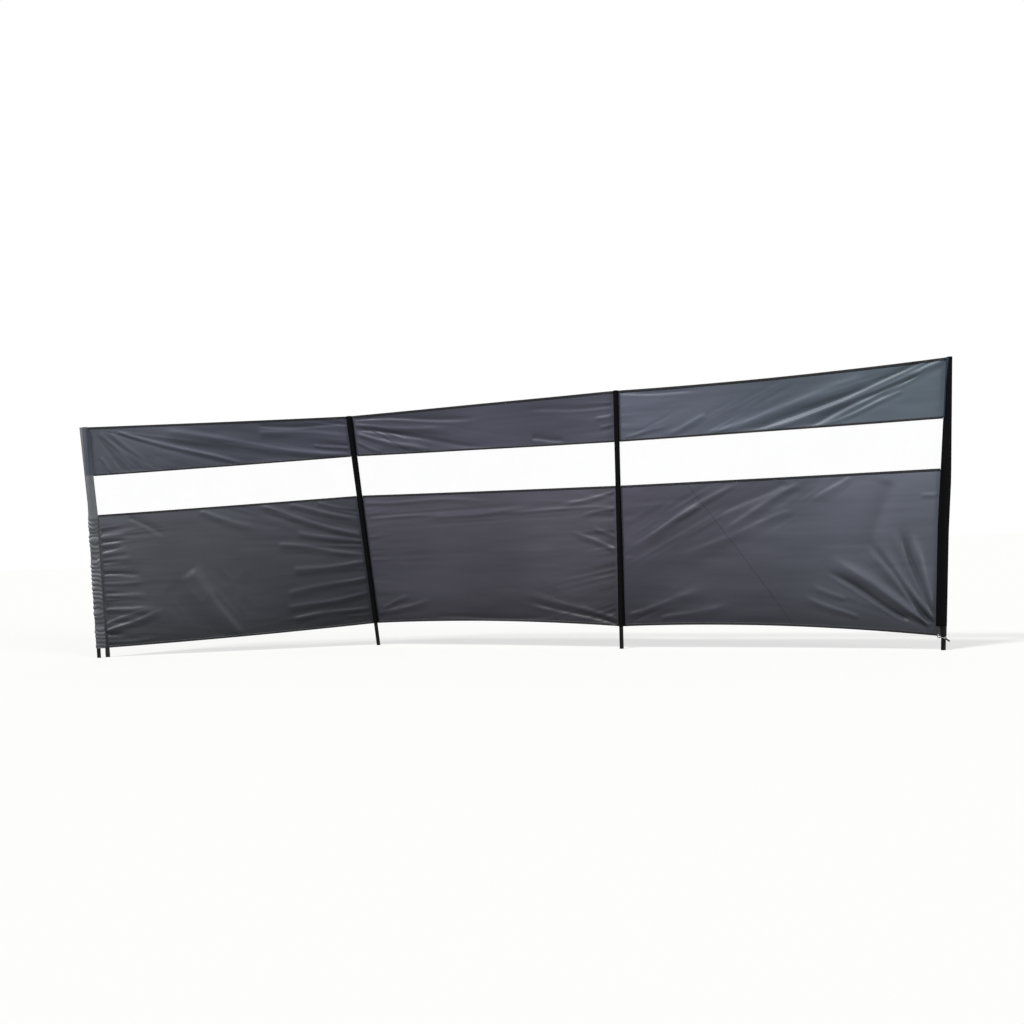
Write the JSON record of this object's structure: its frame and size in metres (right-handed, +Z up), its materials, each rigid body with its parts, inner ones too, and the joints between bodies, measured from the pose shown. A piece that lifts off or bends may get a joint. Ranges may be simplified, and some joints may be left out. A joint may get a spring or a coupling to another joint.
{
  "type": "beach windbreak",
  "caption": "Beach windbreak: dark cloth bays with a clear window strip, held in sewn sleeves by upright steel poles, with a corner ring, tie cord and peg strap.",
  "frame": {"origin": "centre of the first pole's flat foot at ground level", "axes": "+X along the row from the first pole to the fourth, +Z up, the front with the sewn sleeves faces -Y"},
  "size_m": [4.9237, 0.6261, 1.4008],
  "materials": {
    "pole_steel": "black satin paint",
    "sleeve_cloth": "black coated polyester",
    "light_sleeve_cloth": "grey coated polyester, gathered",
    "panel_cloth": "anthracite coated polyester with a soft sheen",
    "window_film": "clear flexible film",
    "tape": "black binding tape",
    "webbing": "black woven webbing",
    "ring_steel": "dull zinc",
    "cord": "grey braided cord"
  },
  "bodies": {
    "root": {"pole_1": "pole_steel", "pole_2": "pole_steel", "pole_3": "pole_steel", "pole_4": "pole_steel", "sleeve_1": "light_sleeve_cloth", "sleeve_2": "sleeve_cloth", "sleeve_3": "sleeve_cloth", "sleeve_4": "sleeve_cloth", "sleeve_cap_1": "light_sleeve_cloth", "sleeve_cap_2": "sleeve_cloth", "sleeve_cap_3": "sleeve_cloth", "sleeve_cap_4": "sleeve_cloth", "top_band_1": "panel_cloth", "top_band_2": "panel_cloth", "top_band_3": "panel_cloth", "window_1": "window_film", "window_2": "window_film", "window_3": "window_film", "lower_panel_1": "panel_cloth", "lower_panel_2": "panel_cloth", "lower_panel_3": "panel_cloth", "top_hem_1": "tape", "top_hem_2": "tape", "top_hem_3": "tape", "bottom_hem_1": "tape", "bottom_hem_2": "tape", "bottom_hem_3": "tape", "upper_tape_1": "tape", "upper_tape_2": "tape", "upper_tape_3": "tape", "lower_tape_1": "tape", "lower_tape_2": "tape", "lower_tape_3": "tape", "peg_strap": "webbing", "corner_tab": "webbing", "corner_ring": "ring_steel", "tie_cord": "cord", "tie_knot": "cord", "tie_toggle": "webbing"}
  },
  "joints": []
}
